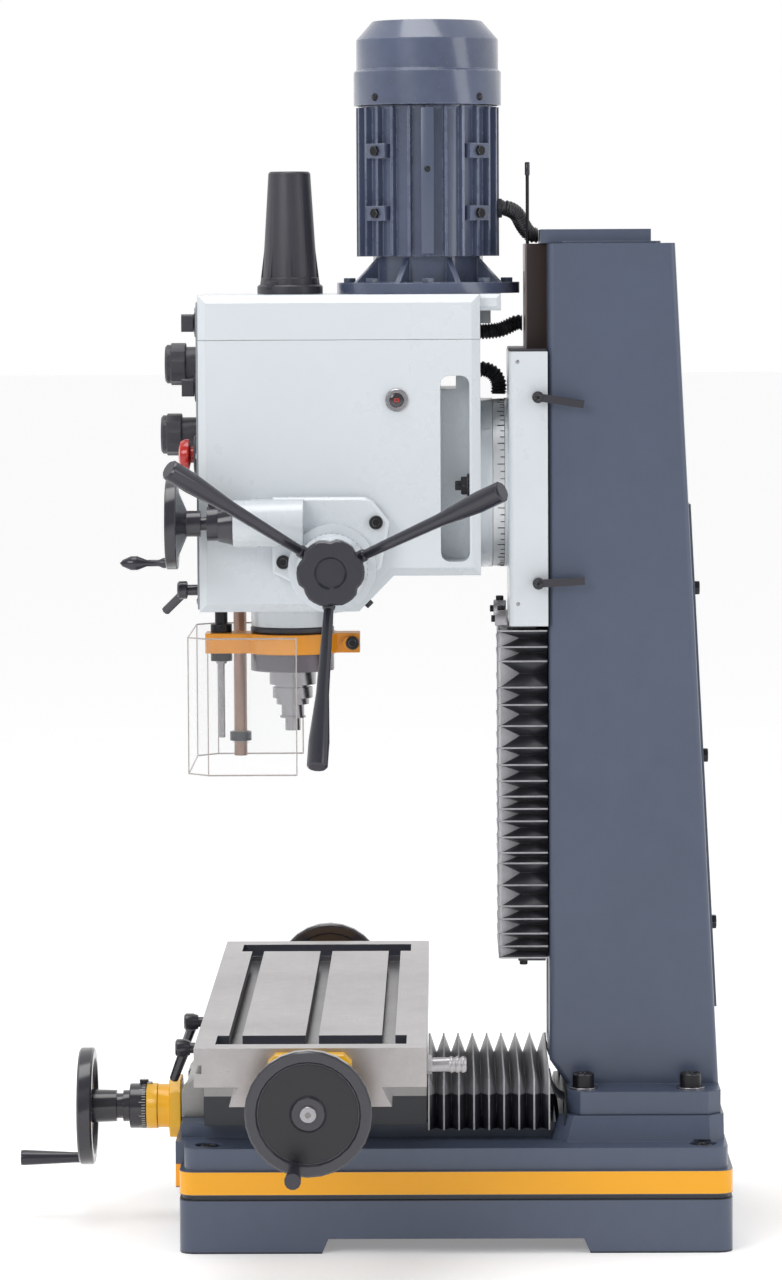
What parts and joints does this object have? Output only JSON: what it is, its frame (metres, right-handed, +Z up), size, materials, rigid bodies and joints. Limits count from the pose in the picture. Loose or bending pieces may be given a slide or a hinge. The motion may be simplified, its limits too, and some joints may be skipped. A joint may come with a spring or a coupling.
{
  "type": "drill milling machine",
  "caption": "Bench drilling and milling machine: tapered column, tilting geared head with vertical motor, quill, cross table on a box base",
  "frame": {"origin": "middle of the whole machine's footprint, on the plane that the base stands on", "axes": "+X to the side with the feed levers, +Y to the column's back, +Z up; the operator stands at -Y"},
  "size_m": [1.1066, 0.7804, 1.3215],
  "materials": {
    "blue_grey_paint": "smooth satin enamel over cast iron",
    "head_paint": "smooth satin enamel over cast iron",
    "yellow_paint": "satin enamel",
    "orange_paint": "satin enamel",
    "ground_iron": "ground and scraped working faces",
    "panel_grey": "flat sheet with a satin coat",
    "steel": "turned and ground",
    "black_metal": "semi-gloss black",
    "black_plastic": "moulded, slight sheen",
    "black_rubber": "pleated and ribbed, dull",
    "bright_metal": "bright plated",
    "red_plastic": "moulded, glossy",
    "clear_guard": "clear acrylic sheet"
  },
  "bodies": {
    "base": {"base_casting": "blue_grey_paint", "column": "blue_grey_paint", "column_top_cap": "blue_grey_paint", "column_rear_cover": "blue_grey_paint", "cross_feed_bracket": "yellow_paint", "way_cover": "black_rubber", "bed_cover": "black_rubber"},
    "lift_screw": {"lift_leadscrew": "steel"},
    "lift_crank": {"lift_crank": "black_metal"},
    "cross_screw": {"cross_leadscrew": "steel", "cross_handwheel": "black_metal"},
    "cross_grip": {"cross_grip": "black_plastic"},
    "cross_dial": {"cross_dial": "black_metal"},
    "saddle": {"saddle": "ground_iron"},
    "saddle_lever_left": {"saddle_lever_left": "black_metal"},
    "saddle_lever_right": {"saddle_lever_right": "black_metal"},
    "table": {"table": "ground_iron", "table_bracket_right": "yellow_paint", "table_bracket_left": "yellow_paint", "coolant_hose_barb": "bright_metal"},
    "table_screw": {"table_leadscrew": "steel", "right_handwheel": "black_metal", "left_handwheel": "black_metal"},
    "right_grip": {"right_grip": "black_plastic"},
    "left_grip": {"left_grip": "black_plastic"},
    "slide": {"lift_slide": "head_paint", "swivel_scale_ring": "ground_iron"},
    "slide_lever_upper": {"slide_lever_upper": "black_metal"},
    "slide_lever_lower": {"slide_lever_lower": "black_metal"},
    "head": {"head_casting": "head_paint", "head_lid": "head_paint", "motor_frame": "blue_grey_paint", "fan_cover": "blue_grey_paint", "drawbar_cap": "black_plastic", "control_panel": "panel_grey", "feed_housing": "head_paint", "oil_sight_glass": "steel", "guard_post": "steel", "motor_hose": "black_rubber", "upper_hose": "black_rubber", "lower_hose": "black_rubber"},
    "fan": {"cooling_fan": "black_plastic"},
    "guard": {"chuck_guard": "clear_guard"},
    "upper_speed_knob": {"upper_speed_knob": "black_plastic"},
    "lower_speed_knob": {"lower_speed_knob": "black_plastic"},
    "upper_switch": {"upper_switch": "black_plastic"},
    "lower_switch": {"lower_switch": "black_plastic"},
    "emergency_stop": {"emergency_stop": "red_plastic"},
    "quill_lock_lever": {"quill_lock_lever": "black_metal"},
    "feed": {"feed_hub": "head_paint", "feed_lever_1": "black_plastic", "feed_lever_2": "black_plastic", "feed_lever_3": "black_plastic"},
    "star_knob": {"star_knob": "black_plastic"},
    "fine_feed": {"fine_feed_wheel": "black_metal"},
    "fine_feed_grip": {"fine_feed_grip": "black_plastic"},
    "quill": {"quill": "steel", "depth_stop_clamp": "orange_paint", "depth_stop_rod": "steel"},
    "spindle": {"spindle": "steel"}
  },
  "joints": [
    {"name": "cross_wheel_turn", "type": "hinge", "parent": "base", "child": "cross_screw", "pos_m": [0, 0.09315, 0.126], "axis": [0, 1, 0], "range_deg": [-6048, 6336]},
    {"name": "saddle_slide", "type": "slide", "parent": "base", "child": "saddle", "axis": [0, 1, 0], "range_m": [-0.084, 0.088], "deforming": ["bed_cover"]},
    {"name": "cross_grip_turn", "type": "hinge", "parent": "cross_screw", "child": "cross_grip", "pos_m": [0, 0.09315, 0.068], "axis": [0, 1, 0], "continuous": true},
    {"name": "cross_dial_turn", "type": "hinge", "parent": "cross_screw", "child": "cross_dial", "pos_m": [0, 0.09315, 0.126], "axis": [0, 1, 0], "continuous": true},
    {"name": "table_wheel_turn", "type": "hinge", "parent": "table", "child": "table_screw", "pos_m": [0, -0.05675, 0.2], "axis": [1, 0, 0], "range_deg": [-16920, 16920]},
    {"name": "table_slide", "type": "slide", "parent": "saddle", "child": "table", "axis": [1, 0, 0], "range_m": [-0.235, 0.235]},
    {"name": "right_grip_turn", "type": "hinge", "parent": "table_screw", "child": "right_grip", "pos_m": [0, -0.0708, 0.1437], "axis": [1, 0, 0], "continuous": true},
    {"name": "left_grip_turn", "type": "hinge", "parent": "table_screw", "child": "left_grip", "pos_m": [0, -0.0708, 0.1437], "axis": [1, 0, 0], "continuous": true},
    {"name": "saddle_lever_left_turn", "type": "hinge", "parent": "saddle", "child": "saddle_lever_left", "pos_m": [-0.126, 0.09315, 0.2], "axis": [0, 1, 0], "range_deg": [-60, 60]},
    {"name": "saddle_lever_right_turn", "type": "hinge", "parent": "saddle", "child": "saddle_lever_right", "pos_m": [0.059, 0.09315, 0.2], "axis": [0, 1, 0], "range_deg": [-60, 60]},
    {"name": "lift_crank_turn", "type": "hinge", "parent": "base", "child": "lift_crank", "pos_m": [0, 0.21815, 0.318], "axis": [1, 0, 0], "range_deg": [-14400, 6480]},
    {"name": "head_lift", "type": "slide", "parent": "base", "child": "slide", "axis": [0, 0, 1], "range_m": [-0.2, 0.09], "deforming": ["way_cover", "motor_hose"]},
    {"name": "lift_screw_turn", "type": "hinge", "parent": "base", "child": "lift_screw", "pos_m": [0, 0.21815, 0], "axis": [0, 0, 1], "range_deg": [-14400, 6480]},
    {"name": "head_swivel", "type": "hinge", "parent": "slide", "child": "head", "pos_m": [0, 0.09315, 0.8175], "axis": [0, 1, 0], "range_deg": [-60, 60], "deforming": ["upper_hose", "lower_hose"]},
    {"name": "slide_lever_upper_turn", "type": "hinge", "parent": "slide", "child": "slide_lever_upper", "pos_m": [0, 0.18515, 0.914], "axis": [1, 0, 0], "range_deg": [-60, 60]},
    {"name": "slide_lever_lower_turn", "type": "hinge", "parent": "slide", "child": "slide_lever_lower", "pos_m": [0, 0.18515, 0.713], "axis": [1, 0, 0], "range_deg": [-60, 60]},
    {"name": "fan_spin", "type": "hinge", "parent": "head", "child": "fan", "pos_m": [0, 0.06715, 0], "axis": [0, 0, 1], "continuous": true},
    {"name": "guard_swing", "type": "hinge", "parent": "head", "child": "guard", "pos_m": [-0.111, -0.14685, 0], "axis": [0, 0, 1], "range_deg": [-100, 0]},
    {"name": "upper_speed_knob_turn", "type": "hinge", "parent": "head", "child": "upper_speed_knob", "pos_m": [-0.01, 0.09315, 0.949], "axis": [0, 1, 0], "range_deg": [-120, 120]},
    {"name": "lower_speed_knob_turn", "type": "hinge", "parent": "head", "child": "lower_speed_knob", "pos_m": [-0.01, 0.09315, 0.8715], "axis": [0, 1, 0], "range_deg": [-120, 120]},
    {"name": "upper_switch_press", "type": "slide", "parent": "head", "child": "upper_switch", "axis": [0, 1, 0], "range_m": [0, 0.004], "stiffness_N_per_m": 400, "springref_m": -0.002},
    {"name": "lower_switch_press", "type": "slide", "parent": "head", "child": "lower_switch", "axis": [0, 1, 0], "range_m": [0, 0.004], "stiffness_N_per_m": 400, "springref_m": -0.002},
    {"name": "emergency_stop_press", "type": "slide", "parent": "head", "child": "emergency_stop", "axis": [0, 1, 0], "range_m": [0, 0.005], "stiffness_N_per_m": 400, "springref_m": -0.002},
    {"name": "quill_lock_turn", "type": "hinge", "parent": "head", "child": "quill_lock_lever", "pos_m": [0.1, 0.09315, 0.707], "axis": [0, 1, 0], "range_deg": [-45, 45]},
    {"name": "feed_turn", "type": "hinge", "parent": "head", "child": "feed", "pos_m": [0, -0.03635, 0.7335], "axis": [1, 0, 0], "range_deg": [0, 458.4]},
    {"name": "quill_feed", "type": "slide", "parent": "head", "child": "quill", "axis": [0, 0, -1], "range_m": [0, 0.12], "stiffness_N_per_m": 660, "springref_m": -0.24},
    {"name": "star_knob_turn", "type": "hinge", "parent": "feed", "child": "star_knob", "pos_m": [0, -0.03635, 0.7335], "axis": [1, 0, 0], "range_deg": [-90, 90]},
    {"name": "fine_feed_turn", "type": "hinge", "parent": "head", "child": "fine_feed", "pos_m": [0.16, 0.09315, 0.782], "axis": [0, 1, 0], "continuous": true},
    {"name": "fine_feed_grip_turn", "type": "hinge", "parent": "fine_feed", "child": "fine_feed_grip", "pos_m": [0.16, 0.09315, 0.74], "axis": [0, 1, 0], "continuous": true},
    {"name": "spindle_spin", "type": "hinge", "parent": "quill", "child": "spindle", "pos_m": [0, -0.08445, 0], "axis": [0, 0, 1], "continuous": true}
  ],
  "couplings": [
    {"joint": "cross_wheel_turn", "follows": "saddle_slide", "rad_per_m": 1256.6},
    {"joint": "table_wheel_turn", "follows": "table_slide", "rad_per_m": 1256.6},
    {"joint": "lift_crank_turn", "follows": "head_lift", "rad_per_m": 1256.6},
    {"joint": "lift_screw_turn", "follows": "head_lift", "rad_per_m": 1256.6},
    {"joint": "feed_turn", "follows": "quill_feed", "rad_per_m": 66.667}
  ]
}
